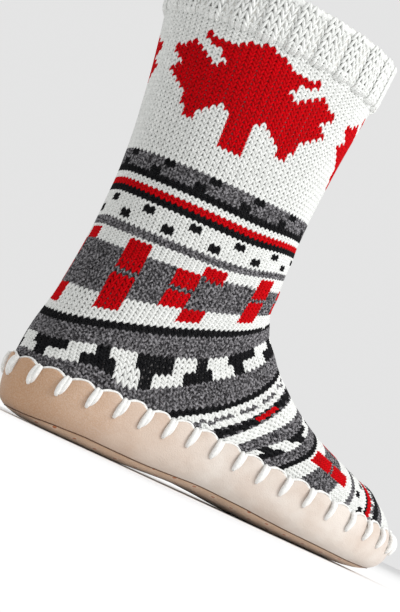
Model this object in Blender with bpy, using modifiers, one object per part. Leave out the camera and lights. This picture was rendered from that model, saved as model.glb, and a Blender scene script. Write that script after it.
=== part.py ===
"""A knitted slipper sock with a soft suede sole, right foot, at its real size.

X runs to the toes, Y to the wearer's left and Z up, and the origin is on the sole under the
heel. Lengths are in millimetres until a mesh is written, which takes metres.
"""

import math
from collections import namedtuple

import bmesh
import bpy
from mathutils import Vector
from mathutils.bvhtree import BVHTree

METRES = 0.001

# Driving sizes of the knitted form, over the outside of the knit
FOOT_LENGTH = 250.0
BALL_WIDTH = 94.0
ANKLE_HEIGHT = 103.0
ANKLE_WIDTH = 88.0
SHAFT_HEIGHT = 240.0
COLLAR_WIDTH = 106.0
CUFF_STEP = 1.5

# Thickness of each layer, and the clearance between two pieces that meet
KNIT_WALL = 2.8
SUEDE = 2.3
FLAT_CUT = 0.6
FOOTBED_HEIGHT = 4.3
GAP = 0.3

# The suede sole: where the dotted panel ends, and the scalloped edge that is sewn up the side
SEAM_INSET = 7.0
TURNED_UNDER = 9.0
BAND_HEIGHT = 33.0
SCALLOP_PITCH = 14.3
SCALLOP_DEPTH = 3.0
OUTLINE_LEVEL = 15.0

# How finely the form is divided
COLUMNS = 30
RING_SPACING = 19.0
SCALLOP_STEPS = 4

SOLE_LEVEL = GAP + SUEDE - FLAT_CUT

Section = namedtuple(
    "Section", "front_x front_z back_x back_z lateral medial ridge widest top_power base_power proud"
)

# The shaft, collar down. x is a share of FOOT_LENGTH, up of the height above the ankle, and
# flare of what the collar is wider than the ankle.
SHAFT_ROWS = [
    # name        front_x  back_x  front_up  back_up  flare  cuff
    ("collar",      0.300, -0.188,    1.000,   1.000,  1.00,  1),
    ("cuff_foot",   0.296, -0.176,    0.840,   0.834,  0.84,  1),
    ("cuff_step",   0.295, -0.175,    0.828,   0.822,  0.82,  0),
    ("leaf_top",    0.290, -0.164,    0.745,   0.730,  0.61,  0),
    ("leaf_middle", 0.281, -0.142,    0.547,   0.526,  0.26,  0),
    ("grey_band",   0.276, -0.125,    0.343,   0.307,  0.04,  0),
    ("red_stripe",  0.276, -0.120,    0.219,   0.168,  0.00,  0),
    ("thin_stripe", 0.279, -0.120,    0.117,   0.015,  0.00,  0),
]

# The foot, ankle to toe. Each section runs from the instep, at front, to the back or the
# underside. x is a share of FOOT_LENGTH, z of ANKLE_HEIGHT and y of BALL_WIDTH.
FOOT_ROWS = [
    # name         front_x front_z back_x back_z lateral medial ridge widest top  base
    ("boxes",        0.283, 1.067, -0.124, 0.873, 0.458, 0.453, 0.000, 0.50, 2.0, 2.0),
    ("dark_line",    0.289, 0.980, -0.138, 0.601, 0.438, 0.430, 0.000, 0.50, 2.0, 2.0),
    ("zigzag",       0.298, 0.941, -0.156, 0.387, 0.412, 0.404, 0.000, 0.48, 2.0, 2.1),
    ("heel_back",    0.307, 0.912, -0.164, 0.213, 0.390, 0.382, 0.000, 0.46, 2.0, 2.0),
    ("heel_corner",  0.316, 0.883, -0.143, 0.036, 0.376, 0.368, 0.000, 0.43, 2.0, 2.35),
    ("heel_seat",    0.328, 0.853, -0.068, 0.000, 0.372, 0.358, 0.000, 0.40, 2.0, 3.0),
    ("heel_front",   0.348, 0.810,  0.072, 0.000, 0.372, 0.346, 0.005, 0.37, 2.0, 3.4),
    ("waist",        0.368, 0.756,  0.168, 0.013, 0.388, 0.343, 0.010, 0.35, 2.0, 3.4),
    ("arch",         0.388, 0.713,  0.256, 0.024, 0.412, 0.349, 0.015, 0.34, 2.0, 3.3),
    ("instep",       0.432, 0.635,  0.344, 0.017, 0.447, 0.376, 0.020, 0.33, 2.0, 3.3),
    ("instep_end",   0.472, 0.577,  0.428, 0.005, 0.479, 0.415, 0.020, 0.33, 2.0, 3.4),
    ("ball_rear",    0.520, 0.523,  0.496, 0.000, 0.500, 0.463, 0.020, 0.33, 2.0, 3.4),
    ("ball",         0.576, 0.480,  0.564, 0.000, 0.495, 0.495, 0.025, 0.33, 2.0, 3.4),
    ("toe_roots",    0.632, 0.441,  0.628, 0.000, 0.463, 0.500, 0.045, 0.34, 2.1, 3.4),
    ("toes",         0.688, 0.407,  0.688, 0.004, 0.404, 0.489, 0.085, 0.36, 2.1, 3.3),
    ("toe_rise",     0.736, 0.368,  0.740, 0.015, 0.319, 0.457, 0.117, 0.38, 2.1, 3.0),
    ("toe_cap",      0.776, 0.315,  0.780, 0.038, 0.202, 0.399, 0.138, 0.42, 2.1, 2.7),
    ("toe_end",      0.808, 0.247,  0.810, 0.077, 0.032, 0.298, 0.144, 0.46, 2.0, 2.3),
    ("toe_nose",     0.820, 0.208,  0.821, 0.116, -0.053, 0.234, 0.144, 0.50, 2.0, 2.1),
]
TOE_TIP = (0.824, 0.144, 0.164)

# Height of the band's top edge along the foot, as shares of FOOT_LENGTH and BAND_HEIGHT
BAND_ROWS = [
    # x     height
    (-0.17, 0.85),
    (0.06, 0.95),
    (0.20, 1.00),
    (0.42, 0.93),
    (0.62, 0.86),
    (0.74, 0.82),
    (0.83, 0.80),
]


def shaft_section(row):
    _, front_x, back_x, front_up, back_up, flare, cuff = row
    above = SHAFT_HEIGHT - ANKLE_HEIGHT
    half_width = (ANKLE_WIDTH + flare * (COLLAR_WIDTH - ANKLE_WIDTH)) / 2
    return Section(
        front_x * FOOT_LENGTH,
        ANKLE_HEIGHT + front_up * above,
        back_x * FOOT_LENGTH,
        ANKLE_HEIGHT + back_up * above,
        half_width,
        half_width,
        0.0,
        0.5,
        2.0,
        2.0,
        cuff * CUFF_STEP,
    )


def foot_section(row):
    _, front_x, front_z, back_x, back_z, lateral, medial, ridge, widest, top, base = row
    return Section(
        front_x * FOOT_LENGTH,
        SOLE_LEVEL + front_z * ANKLE_HEIGHT,
        back_x * FOOT_LENGTH,
        SOLE_LEVEL + back_z * ANKLE_HEIGHT,
        lateral * BALL_WIDTH,
        medial * BALL_WIDTH,
        ridge * BALL_WIDTH,
        widest,
        top,
        base,
        0.0,
    )


def spacing(first, second):
    """The longer of the two distances between sections, along the front and along the back."""
    front = math.hypot(second.front_x - first.front_x, second.front_z - first.front_z)
    back = math.hypot(second.back_x - first.back_x, second.back_z - first.back_z)
    return max(front, back)


def slope(before, here, after, step_before, step_after):
    """Slope of a curve that passes smoothly through three values and never overshoots."""
    left = (here - before) / step_before
    right = (after - here) / step_after
    if left * right <= 0:
        return 0.0
    return 2 * left * right / (left + right)


def between(rows, steps, index, share):
    """The section at a share of the way from rows[index] to the next one."""
    values = []
    for column in range(len(Section._fields)):
        here = rows[index][column]
        after = rows[index + 1][column]
        step = steps[index]
        if Section._fields[column] == "proud":
            values.append(here + share * (after - here))
            continue
        start_slope = (after - here) / step
        end_slope = start_slope
        if index > 0:
            start_slope = slope(rows[index - 1][column], here, after, steps[index - 1], step)
        if index + 2 < len(rows):
            end_slope = slope(here, after, rows[index + 2][column], step, steps[index + 1])
        t2 = share * share
        t3 = t2 * share
        values.append(
            (2 * t3 - 3 * t2 + 1) * here
            + (t3 - 2 * t2 + share) * step * start_slope
            + (3 * t2 - 2 * t3) * after
            + (t3 - t2) * step * end_slope
        )
    return Section(*values)


def form_sections():
    """All rings of the form, from the collar to the toe, close enough for a smooth wall."""
    rows = [shaft_section(row) for row in SHAFT_ROWS] + [foot_section(row) for row in FOOT_ROWS]
    steps = [spacing(first, second) for first, second in zip(rows, rows[1:])]
    rings = []
    for index, step in enumerate(steps):
        parts = math.ceil(step / RING_SPACING)
        for part in range(parts):
            rings.append(between(rows, steps, index, part / parts))
    rings.append(rows[-1])
    return rings


def ring_points(section):
    """Points of one section, from the instep round the lateral side to the back."""
    front = Vector((section.front_x, section.ridge, section.front_z))
    back = Vector((section.back_x, section.ridge, section.back_z))
    middle = back.lerp(front, section.widest)
    points = []
    for column in range(COLUMNS):
        angle = 2 * math.pi * column / COLUMNS
        along = math.cos(angle)
        across = -math.sin(angle)
        power = 2 / (section.top_power if along > 0 else section.base_power)
        reach = front - middle if along > 0 else middle - back
        side = section.lateral + section.ridge if across < 0 else section.medial - section.ridge
        point = middle + reach * math.copysign(abs(along) ** power, along)
        point.y += side * math.copysign(abs(across) ** power, across)
        outward = point - middle
        points.append(point + outward.normalized() * section.proud)
    return points


def new_object(name, mesh, collection):
    made = bpy.data.objects.new(name, mesh)
    collection.objects.link(made)
    return made


def mesh_of(name, build):
    """A mesh in metres of what build adds, in millimetres, to an empty bmesh."""
    shape = bmesh.new()
    build(shape)
    bmesh.ops.recalc_face_normals(shape, faces=shape.faces)
    bmesh.ops.triangulate(shape, faces=[face for face in shape.faces if len(face.verts) == 4])
    bmesh.ops.scale(shape, vec=(METRES, METRES, METRES), verts=shape.verts)
    mesh = bpy.data.meshes.new(name)
    shape.to_mesh(mesh)
    shape.free()
    return mesh


def add_form(shape, closed):
    """The knitted form as a loft through its sections, open at the collar unless closed."""
    rings = []
    for section in form_sections():
        rings.append([shape.verts.new(point) for point in ring_points(section)])
    for upper, lower in zip(rings, rings[1:]):
        for column in range(COLUMNS):
            following = (column + 1) % COLUMNS
            shape.faces.new((upper[column], upper[following], lower[following], lower[column]))
    tip_x, tip_y, tip_z = TOE_TIP
    tip = shape.verts.new(
        (tip_x * FOOT_LENGTH, tip_y * BALL_WIDTH, SOLE_LEVEL + tip_z * ANKLE_HEIGHT)
    )
    for column in range(COLUMNS):
        shape.faces.new((rings[-1][column], rings[-1][(column + 1) % COLUMNS], tip))
    if closed:
        shape.faces.new(rings[0])


def band_edge(x):
    """Height of the band's top edge, before the scallops, at a place along the foot."""
    places = [share * FOOT_LENGTH for share, _ in BAND_ROWS]
    heights = [share * BAND_HEIGHT for _, share in BAND_ROWS]
    if x <= places[0]:
        return heights[0]
    for index in range(len(places) - 1):
        if x <= places[index + 1]:
            share = (x - places[index]) / (places[index + 1] - places[index])
            smooth = share * share * (3 - 2 * share)
            return heights[index] + smooth * (heights[index + 1] - heights[index])
    return heights[-1]


def sole_outline(form_mesh):
    """The plan outline of the form near its sole, found by looking out from its middle line."""
    corners = [vertex.co / METRES for vertex in form_mesh.vertices]
    faces = [tuple(face.vertices) for face in form_mesh.polygons]
    form = BVHTree.FromPolygons(corners, faces)
    heel = Vector((0.0, 0.0, OUTLINE_LEVEL))
    ball = Vector((0.60 * FOOT_LENGTH, 0.04 * BALL_WIDTH, OUTLINE_LEVEL))
    turn_rays = 24
    side_rays = 16
    rays = []
    for ray in range(turn_rays + 1):
        angle = math.pi / 2 + math.pi * ray / turn_rays
        rays.append((heel, Vector((math.cos(angle), math.sin(angle), 0.0))))
    for ray in range(1, side_rays):
        rays.append((heel.lerp(ball, ray / side_rays), Vector((0.0, -1.0, 0.0))))
    for ray in range(turn_rays + 1):
        angle = -math.pi / 2 + math.pi * ray / turn_rays
        rays.append((ball, Vector((math.cos(angle), math.sin(angle), 0.0))))
    for ray in range(1, side_rays):
        rays.append((ball.lerp(heel, ray / side_rays), Vector((0.0, 1.0, 0.0))))
    return [form.ray_cast(origin, direction)[0].to_2d() for origin, direction in rays]


def even_steps(outline, count):
    """The same closed outline with count points at even distances."""
    closed = outline + outline[:1]
    lengths = [0.0]
    for first, second in zip(closed, closed[1:]):
        lengths.append(lengths[-1] + (second - first).length)
    points = []
    index = 0
    for number in range(count):
        place = lengths[-1] * number / count
        while lengths[index + 1] < place:
            index += 1
        share = (place - lengths[index]) / (lengths[index + 1] - lengths[index])
        points.append(closed[index].lerp(closed[index + 1], share))
    return points


def moved_out(outline, distance):
    """The outline moved outwards, or inwards where distance is negative."""
    points = []
    for index, point in enumerate(outline):
        along = outline[(index + 1) % len(outline)] - outline[index - 1]
        points.append(point + Vector((along.y, -along.x)).normalized() * distance)
    return points


def add_prism(shape, outline, low, high):
    """A straight block with the given outline."""
    bottom = [shape.verts.new((point.x, point.y, low)) for point in outline]
    top = [shape.verts.new((point.x, point.y, high)) for point in outline]
    for index in range(len(outline)):
        after = (index + 1) % len(outline)
        shape.faces.new((bottom[index], bottom[after], top[after], top[index]))
    shape.faces.new(bottom[::-1])
    shape.faces.new(top)


def add_scalloped_block(shape, outline):
    """All that lies between the floor and the scalloped top edge of the band."""
    reach = 2 * SCALLOP_PITCH
    length = sum((point - outline[index - 1]).length for index, point in enumerate(outline))
    scallops = round(length / SCALLOP_PITCH)
    edge = even_steps(outline, scallops * SCALLOP_STEPS)
    heights = []
    for index, point in enumerate(edge):
        swell = math.sin(math.pi * (index % SCALLOP_STEPS) / SCALLOP_STEPS)
        heights.append(band_edge(point.x) - SCALLOP_DEPTH * (1 - swell))
    outer = moved_out(edge, reach)
    inner = moved_out(edge, -SCALLOP_PITCH)
    floor = [shape.verts.new((point.x, point.y, 0.0)) for point in outer]
    rim = [shape.verts.new((point.x, point.y, height)) for point, height in zip(outer, heights)]
    ledge = [shape.verts.new((point.x, point.y, height)) for point, height in zip(inner, heights)]
    middle = shape.verts.new((0.3 * FOOT_LENGTH, 0.0, BAND_HEIGHT))
    for index in range(len(edge)):
        after = (index + 1) % len(edge)
        shape.faces.new((floor[index], floor[after], rim[after], rim[index]))
        shape.faces.new((rim[index], rim[after], ledge[after], ledge[index]))
        shape.faces.new((ledge[index], ledge[after], middle))
    shape.faces.new(floor[::-1])


def add_boolean(target, operation, other):
    boolean = target.modifiers.new(other.name, "BOOLEAN")
    boolean.operation = operation
    boolean.object = other


def move_along_normals(target, distance):
    move = target.modifiers.new("move out", "DISPLACE")
    move.direction = "NORMAL"
    move.mid_level = 0.0
    move.strength = distance * METRES


def thicken(target, thickness, side):
    wall = target.modifiers.new("wall", "SOLIDIFY")
    wall.thickness = thickness * METRES
    wall.offset = side


def paint(target, name, colour, roughness):
    material = bpy.data.materials.new(name)
    material.use_nodes = True
    shader = material.node_tree.nodes["Principled BSDF"]
    shader.inputs["Base Color"].default_value = (*colour, 1.0)
    shader.inputs["Roughness"].default_value = roughness
    shader.inputs["Metallic"].default_value = 0.0
    target.data.materials.append(material)


def make_cutter(name, mesh, cutters):
    cutter = new_object(name, mesh, cutters)
    cutter.hide_render = True
    cutter.display_type = "WIRE"
    return cutter


def make_knit_upper(parts, opening):
    """The knitted sock: one wall, open at the collar and under the foot inside the seam."""
    mesh = mesh_of("knit_upper", lambda shape: add_form(shape, closed=False))
    upper = new_object("knit_upper", mesh, parts)
    thicken(upper, KNIT_WALL, -1.0)
    add_boolean(upper, "DIFFERENCE", opening)
    paint(upper, "knitted wool", (0.80, 0.80, 0.76), 0.95)
    return upper


def make_suede(name, parts, scalloped):
    """A layer of suede over the knit, from the floor up to the scalloped edge."""
    mesh = mesh_of(name, lambda shape: add_form(shape, closed=False))
    suede = new_object(name, mesh, parts)
    move_along_normals(suede, GAP)
    thicken(suede, SUEDE, 1.0)
    add_boolean(suede, "INTERSECT", scalloped)
    return suede


def make_footbed(parts, cutters, plug_block, bed_block):
    """The padded insole: it lies on the turned-under knit and fills the opening in it."""
    mesh = mesh_of("insole", lambda shape: add_form(shape, closed=True))
    footbed = new_object("insole", mesh, parts)
    add_boolean(footbed, "INTERSECT", plug_block)
    inner = make_cutter("footbed_inside_wall", mesh.copy(), cutters)
    move_along_normals(inner, -(KNIT_WALL + GAP))
    add_boolean(inner, "INTERSECT", bed_block)
    add_boolean(footbed, "UNION", inner)
    paint(footbed, "fleece footbed", (0.78, 0.74, 0.68), 0.95)
    return footbed


def clear_scene():
    for thing in list(bpy.data.objects):
        bpy.data.objects.remove(thing, do_unlink=True)
    for collection in list(bpy.data.collections):
        bpy.data.collections.remove(collection)


def build():
    clear_scene()
    parts = bpy.data.collections.new("slipper_sock")
    cutters = bpy.data.collections.new("cutters")
    bpy.context.scene.collection.children.link(parts)
    bpy.context.scene.collection.children.link(cutters)

    form_mesh = mesh_of("form", lambda shape: add_form(shape, closed=True))
    outline = sole_outline(form_mesh)
    bpy.data.meshes.remove(form_mesh)
    seam = moved_out(outline, -SEAM_INSET)
    opening_edge = moved_out(outline, -(SEAM_INSET + TURNED_UNDER))
    plug_edge = moved_out(outline, -(SEAM_INSET + TURNED_UNDER + GAP))
    bed_top = SOLE_LEVEL + KNIT_WALL + GAP + FOOTBED_HEIGHT
    below = -SUEDE

    opening = make_cutter(
        "opening",
        mesh_of("opening", lambda shape: add_prism(shape, opening_edge, below, bed_top)),
        cutters,
    )
    plug_block = make_cutter(
        "plug_block",
        mesh_of("plug_block", lambda shape: add_prism(shape, plug_edge, below, bed_top)),
        cutters,
    )
    bed_block = make_cutter(
        "bed_block",
        mesh_of(
            "bed_block",
            lambda shape: add_prism(shape, moved_out(outline, BALL_WIDTH / 4), below, bed_top),
        ),
        cutters,
    )
    scalloped = make_cutter(
        "scalloped_block",
        mesh_of("scalloped_block", lambda shape: add_scalloped_block(shape, outline)),
        cutters,
    )
    panel_block = make_cutter(
        "panel_block",
        mesh_of("panel_block", lambda shape: add_prism(shape, seam, below, OUTLINE_LEVEL)),
        cutters,
    )
    seam_block = make_cutter(
        "seam_block",
        mesh_of(
            "seam_block",
            lambda shape: add_prism(shape, moved_out(seam, GAP), below, OUTLINE_LEVEL),
        ),
        cutters,
    )

    make_knit_upper(parts, opening)

    band = make_suede("side_band", parts, scalloped)
    add_boolean(band, "DIFFERENCE", seam_block)
    paint(band, "pale suede", (0.80, 0.63, 0.50), 0.9)

    panel = make_suede("sole_panel", parts, scalloped)
    add_boolean(panel, "INTERSECT", panel_block)
    paint(panel, "dotted suede", (0.58, 0.44, 0.33), 0.9)

    make_footbed(parts, cutters, plug_block, bed_block)


build()
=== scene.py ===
import math

import bpy
import numpy as np
from mathutils import Matrix, Vector
from mathutils.bvhtree import BVHTree


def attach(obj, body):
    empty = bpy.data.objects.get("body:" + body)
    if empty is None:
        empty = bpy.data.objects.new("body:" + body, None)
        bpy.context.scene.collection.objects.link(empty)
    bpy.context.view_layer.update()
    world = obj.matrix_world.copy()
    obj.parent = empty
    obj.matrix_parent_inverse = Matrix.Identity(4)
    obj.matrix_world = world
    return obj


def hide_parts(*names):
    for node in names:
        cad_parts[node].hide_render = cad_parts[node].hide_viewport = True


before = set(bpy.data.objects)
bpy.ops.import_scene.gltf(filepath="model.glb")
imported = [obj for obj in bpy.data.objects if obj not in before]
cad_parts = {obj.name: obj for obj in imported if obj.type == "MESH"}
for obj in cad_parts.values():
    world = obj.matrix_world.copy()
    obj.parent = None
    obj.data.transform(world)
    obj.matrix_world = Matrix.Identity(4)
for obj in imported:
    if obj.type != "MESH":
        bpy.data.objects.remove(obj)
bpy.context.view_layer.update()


# The camera stands on the outer side of the foot, a little behind it and close to the floor.
# It is rolled, so that the shaft leans to the right and the toes point down to the right.

CAMERA_AZIMUTH = math.radians(-30.0)
CAMERA_HEIGHT = math.radians(-4.0)
CAMERA_ROLL = math.radians(25.0)
CAMERA_DISTANCE = 1.12
CAMERA_LENS = 128.0
LOOK_AT = Vector((0.0452, 0.0110, 0.0905))

back = Vector((
    math.sin(CAMERA_AZIMUTH) * math.cos(CAMERA_HEIGHT),
    -math.cos(CAMERA_AZIMUTH) * math.cos(CAMERA_HEIGHT),
    math.sin(CAMERA_HEIGHT),
))
bpy.ops.object.camera_add(location=LOOK_AT + back * CAMERA_DISTANCE)
camera = bpy.context.object
camera.data.lens = CAMERA_LENS
camera.rotation_mode = "QUATERNION"
turn = (-back).to_track_quat("-Z", "Y")
camera.rotation_quaternion = turn @ Matrix.Rotation(CAMERA_ROLL, 4, "Z").to_quaternion()
bpy.context.scene.camera = camera


# The knitted sock is one tube of thick wool, knitted from the collar down to the toes. Its
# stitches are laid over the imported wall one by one, so its form is worked out here first:
# sections from the collar to the toe, each run round from the instep over the outer side.

# The sock's own sizes are in millimetres, and METRES makes them the scene's metres.
METRES = 0.001
FOOT_LENGTH = 250.0
BALL_WIDTH = 94.0
ANKLE_HEIGHT = 103.0
ANKLE_WIDTH = 88.0
SHAFT_HEIGHT = 240.0
COLLAR_WIDTH = 106.0
CUFF_STEP = 1.5
SOLE_LEVEL = 2.0
KNIT_WALL = 2.8

# A shaft section is widest at its middle, and its outline is a plain oval.
MIDDLE = 0.5
OVAL = 2.0

SHAFT_ROWS = [
    # name        front_x  back_x  front_up  back_up  flare  cuff
    ("collar",      0.300, -0.188,    1.000,   1.000,  1.00,  1),
    ("cuff_foot",   0.296, -0.176,    0.840,   0.834,  0.84,  1),
    ("cuff_step",   0.295, -0.175,    0.828,   0.822,  0.82,  0),
    ("leaf_top",    0.290, -0.164,    0.745,   0.730,  0.61,  0),
    ("leaf_middle", 0.281, -0.142,    0.547,   0.526,  0.26,  0),
    ("grey_band",   0.276, -0.125,    0.343,   0.307,  0.04,  0),
    ("red_stripe",  0.276, -0.120,    0.219,   0.168,  0.00,  0),
    ("thin_stripe", 0.279, -0.120,    0.117,   0.015,  0.00,  0),
]

FOOT_ROWS = [
    # name         front_x front_z back_x back_z lateral medial ridge widest top  base
    ("boxes",        0.283, 1.067, -0.124, 0.873, 0.458, 0.453, 0.000, 0.50, 2.0, 2.0),
    ("dark_line",    0.289, 0.980, -0.138, 0.601, 0.438, 0.430, 0.000, 0.50, 2.0, 2.0),
    ("zigzag",       0.298, 0.941, -0.156, 0.387, 0.412, 0.404, 0.000, 0.48, 2.0, 2.1),
    ("heel_back",    0.307, 0.912, -0.164, 0.213, 0.390, 0.382, 0.000, 0.46, 2.0, 2.0),
    ("heel_corner",  0.316, 0.883, -0.143, 0.036, 0.376, 0.368, 0.000, 0.43, 2.0, 2.35),
    ("heel_seat",    0.328, 0.853, -0.068, 0.000, 0.372, 0.358, 0.000, 0.40, 2.0, 3.0),
    ("heel_front",   0.348, 0.810,  0.072, 0.000, 0.372, 0.346, 0.005, 0.37, 2.0, 3.4),
    ("waist",        0.368, 0.756,  0.168, 0.013, 0.388, 0.343, 0.010, 0.35, 2.0, 3.4),
    ("arch",         0.388, 0.713,  0.256, 0.024, 0.412, 0.349, 0.015, 0.34, 2.0, 3.3),
    ("instep",       0.432, 0.635,  0.344, 0.017, 0.447, 0.376, 0.020, 0.33, 2.0, 3.3),
    ("instep_end",   0.472, 0.577,  0.428, 0.005, 0.479, 0.415, 0.020, 0.33, 2.0, 3.4),
    ("ball_rear",    0.520, 0.523,  0.496, 0.000, 0.500, 0.463, 0.020, 0.33, 2.0, 3.4),
    ("ball",         0.576, 0.480,  0.564, 0.000, 0.495, 0.495, 0.025, 0.33, 2.0, 3.4),
    ("toe_roots",    0.632, 0.441,  0.628, 0.000, 0.463, 0.500, 0.045, 0.34, 2.1, 3.4),
    ("toes",         0.688, 0.407,  0.688, 0.004, 0.404, 0.489, 0.085, 0.36, 2.1, 3.3),
    ("toe_rise",     0.736, 0.368,  0.740, 0.015, 0.319, 0.457, 0.117, 0.38, 2.1, 3.0),
    ("toe_cap",      0.776, 0.315,  0.780, 0.038, 0.202, 0.399, 0.138, 0.42, 2.1, 2.7),
    ("toe_end",      0.808, 0.247,  0.810, 0.077, 0.032, 0.298, 0.144, 0.46, 2.0, 2.3),
    ("toe_nose",     0.820, 0.208,  0.821, 0.116, -0.053, 0.234, 0.144, 0.50, 2.0, 2.1),
    ("toe_tip",      0.824, 0.164,  0.824, 0.164, -0.144, 0.144, 0.144, 0.50, 2.0, 2.1),
]

sections = []
stands_proud = []
for name, front_x, back_x, front_up, back_up, flare, cuff in SHAFT_ROWS:
    shaft = SHAFT_HEIGHT - ANKLE_HEIGHT
    half = (ANKLE_WIDTH + flare * (COLLAR_WIDTH - ANKLE_WIDTH)) / 2
    front_z = ANKLE_HEIGHT + front_up * shaft
    back_z = ANKLE_HEIGHT + back_up * shaft
    sections.append((
        front_x * FOOT_LENGTH, front_z, back_x * FOOT_LENGTH, back_z,
        half, half, 0.0, MIDDLE, OVAL, OVAL,
    ))
    stands_proud.append(cuff * CUFF_STEP)
for name, front_x, front_z, back_x, back_z, lateral, medial, ridge, widest, top, base in FOOT_ROWS:
    sections.append((
        front_x * FOOT_LENGTH, SOLE_LEVEL + front_z * ANKLE_HEIGHT,
        back_x * FOOT_LENGTH, SOLE_LEVEL + back_z * ANKLE_HEIGHT,
        lateral * BALL_WIDTH, medial * BALL_WIDTH, ridge * BALL_WIDTH, widest, top, base,
    ))
    stands_proud.append(0.0)
sections = np.array(sections)
LAST_SECTION = len(sections) - 1


def smooth_slopes(places, values):
    """Slopes of a curve through the values that never overshoots them; values may be columns."""
    steps = np.diff(places).reshape(-1, *([1] * (values.ndim - 1)))
    rises = np.diff(values, axis=0) / steps
    before = rises[:-1]
    after = rises[1:]
    together = before * after
    mean = np.where(together > 0, 2 * together / np.where(together > 0, before + after, 1), 0)
    return np.concatenate([rises[:1], mean, rises[-1:]])


def smooth_curve(places, values, at):
    """Values of that curve at the given places."""
    slopes = smooth_slopes(places, values)
    index = np.clip(np.searchsorted(places, at, side="right") - 1, 0, len(places) - 2)
    width = places[index + 1] - places[index]
    share = (at - places[index]) / width
    if values.ndim > 1:
        share = share[:, None]
        width = width[:, None]
    t2 = share * share
    t3 = t2 * share
    return (
        (2 * t3 - 3 * t2 + 1) * values[index]
        + (t3 - 2 * t2 + share) * width * slopes[index]
        + (3 * t2 - 2 * t3) * values[index + 1]
        + (t3 - t2) * width * slopes[index + 1]
    )


fronts_x, fronts_z, backs_x, backs_z = sections.T[:4]
front_steps = np.hypot(np.diff(fronts_x), np.diff(fronts_z))
back_steps = np.hypot(np.diff(backs_x), np.diff(backs_z))
section_places = np.concatenate([[0], np.cumsum(np.maximum(front_steps, back_steps))])


def form_points(place, angle):
    """Points on the outside of the knit. place counts sections from the collar; angle runs
    from the instep, at 0, over the outer side to the back or the sole, at pi."""
    place = np.clip(place, 0, LAST_SECTION)
    index = np.minimum(place.astype(int), LAST_SECTION - 1)
    gaps = section_places[index + 1] - section_places[index]
    at = section_places[index] + (place - index) * gaps
    found = smooth_curve(section_places, sections, at)
    front_x, front_z, back_x, back_z, lateral, medial, ridge, widest, top, base = found.T
    proud = np.interp(place, np.arange(len(stands_proud)), stands_proud)
    along = np.cos(angle)
    across = -np.sin(angle)
    upper = along > 0
    power = 2 / np.where(upper, top, base)
    reach = np.where(upper, 1 - widest, widest) * np.sign(along) * np.abs(along) ** power
    side = np.where(across < 0, lateral + ridge, medial - ridge)
    move = np.stack([
        (front_x - back_x) * reach,
        side * np.sign(across) * np.abs(across) ** power,
        (front_z - back_z) * reach,
    ], axis=1)
    middle = np.stack([
        back_x + widest * (front_x - back_x),
        ridge,
        back_z + widest * (front_z - back_z),
    ], axis=1)
    length = np.maximum(np.linalg.norm(move, axis=1, keepdims=True), 1e-6)
    return middle + move * (1 + proud[:, None] / length)


# The pattern of the knit, charted as whole rows of stitches from the collar down:
# w white, r red, k black, g grey marl. Each string is one repeat, told off round the leg.

# One half of the leaf, red where it says r; its other half is the same the other way round.
LEAF_HALF = [
    "................",
    "r...............",
    "r...............",
    "rr..............",
    "rrr.............",
    "rrr.............",
    "rrrr....r.......",
    "rrrrr.rrr.......",
    "rrrrrrrrr.......",
    "rrrrrrrr........",
    "rrrrrrrr........",
    "rrrrrrr.........",
    "rrrrrr....r.....",
    "rrrrrr...rrr....",
    "rrrrr...rrrrrr..",
    "rrrrrr.rrrrrrr..",
    "rrrrrrrrrrrrr...",
    "rrrrrrrrrrrr....",
    "rrrrrrrrrrrrr...",
    "rrrrrrrrrrrrrr..",
    "rrrrrrrrrrrrr...",
    "rrrrrrrrrrrr....",
    "rrrrrrrrrrr.....",
    "rrr.rrrrrr......",
    "rr...rrrrr......",
    "rr....rrrr......",
    "rr.....rr.......",
    "rr.....rr.......",
    "rr..............",
    "rr..............",
    "rr..............",
]
leaf = [half.replace(".", "w") + half[::-1].replace(".", "w") for half in LEAF_HALF]
leaf += ["w"] * 6
leaf_on_toe = leaf[8:31][::-1]

BLOCKS = ["kggggggk", "kggggggk", "gggggggg", "gkkggggg", "gkkggggg"]
DOTS = ["wwwwwwww", "kwwwwwwk", "kwwwwwwk", "wwwwwwww", "wwwkkwww", "wwwkkwww", "wwwwwwww"]
STEPS_ABOVE = "wwwkkwwwwkkkkkkw"
STEPS_BELOW = "wwkkkkkwwwwwkkww"
BOXES = (
    ["wwwwwwwwwwwwwwwwwwwwwwww"]
    + ["rrrrwwwwwwwwwrrrrwwwwwww"] * 4
    + ["ggggrrrrgggggrrrrggggggg"] * 4
    + ["gggggggggggggggggggggggg"]
    + ["ggggrrrrgggggrrrrggggggg"] * 4
    + ["rrrrwwwwwwwwwrrrrwwwwwww"] * 3
    + ["rrrrwwwwwwwwwwwwwwwwwwww"]
    + ["wwwwwwwwwwwwwwwwwwwwwwww"] * 2
)
FLECKS = ["gk", "kkkkkkkkkkrrrrkkkkkkkkkk", "kkkkkkkkkkrrrrkkkkkkkkkk", "kg"]
MOTTLE = ["gw", "gggw", "wg"]

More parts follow.
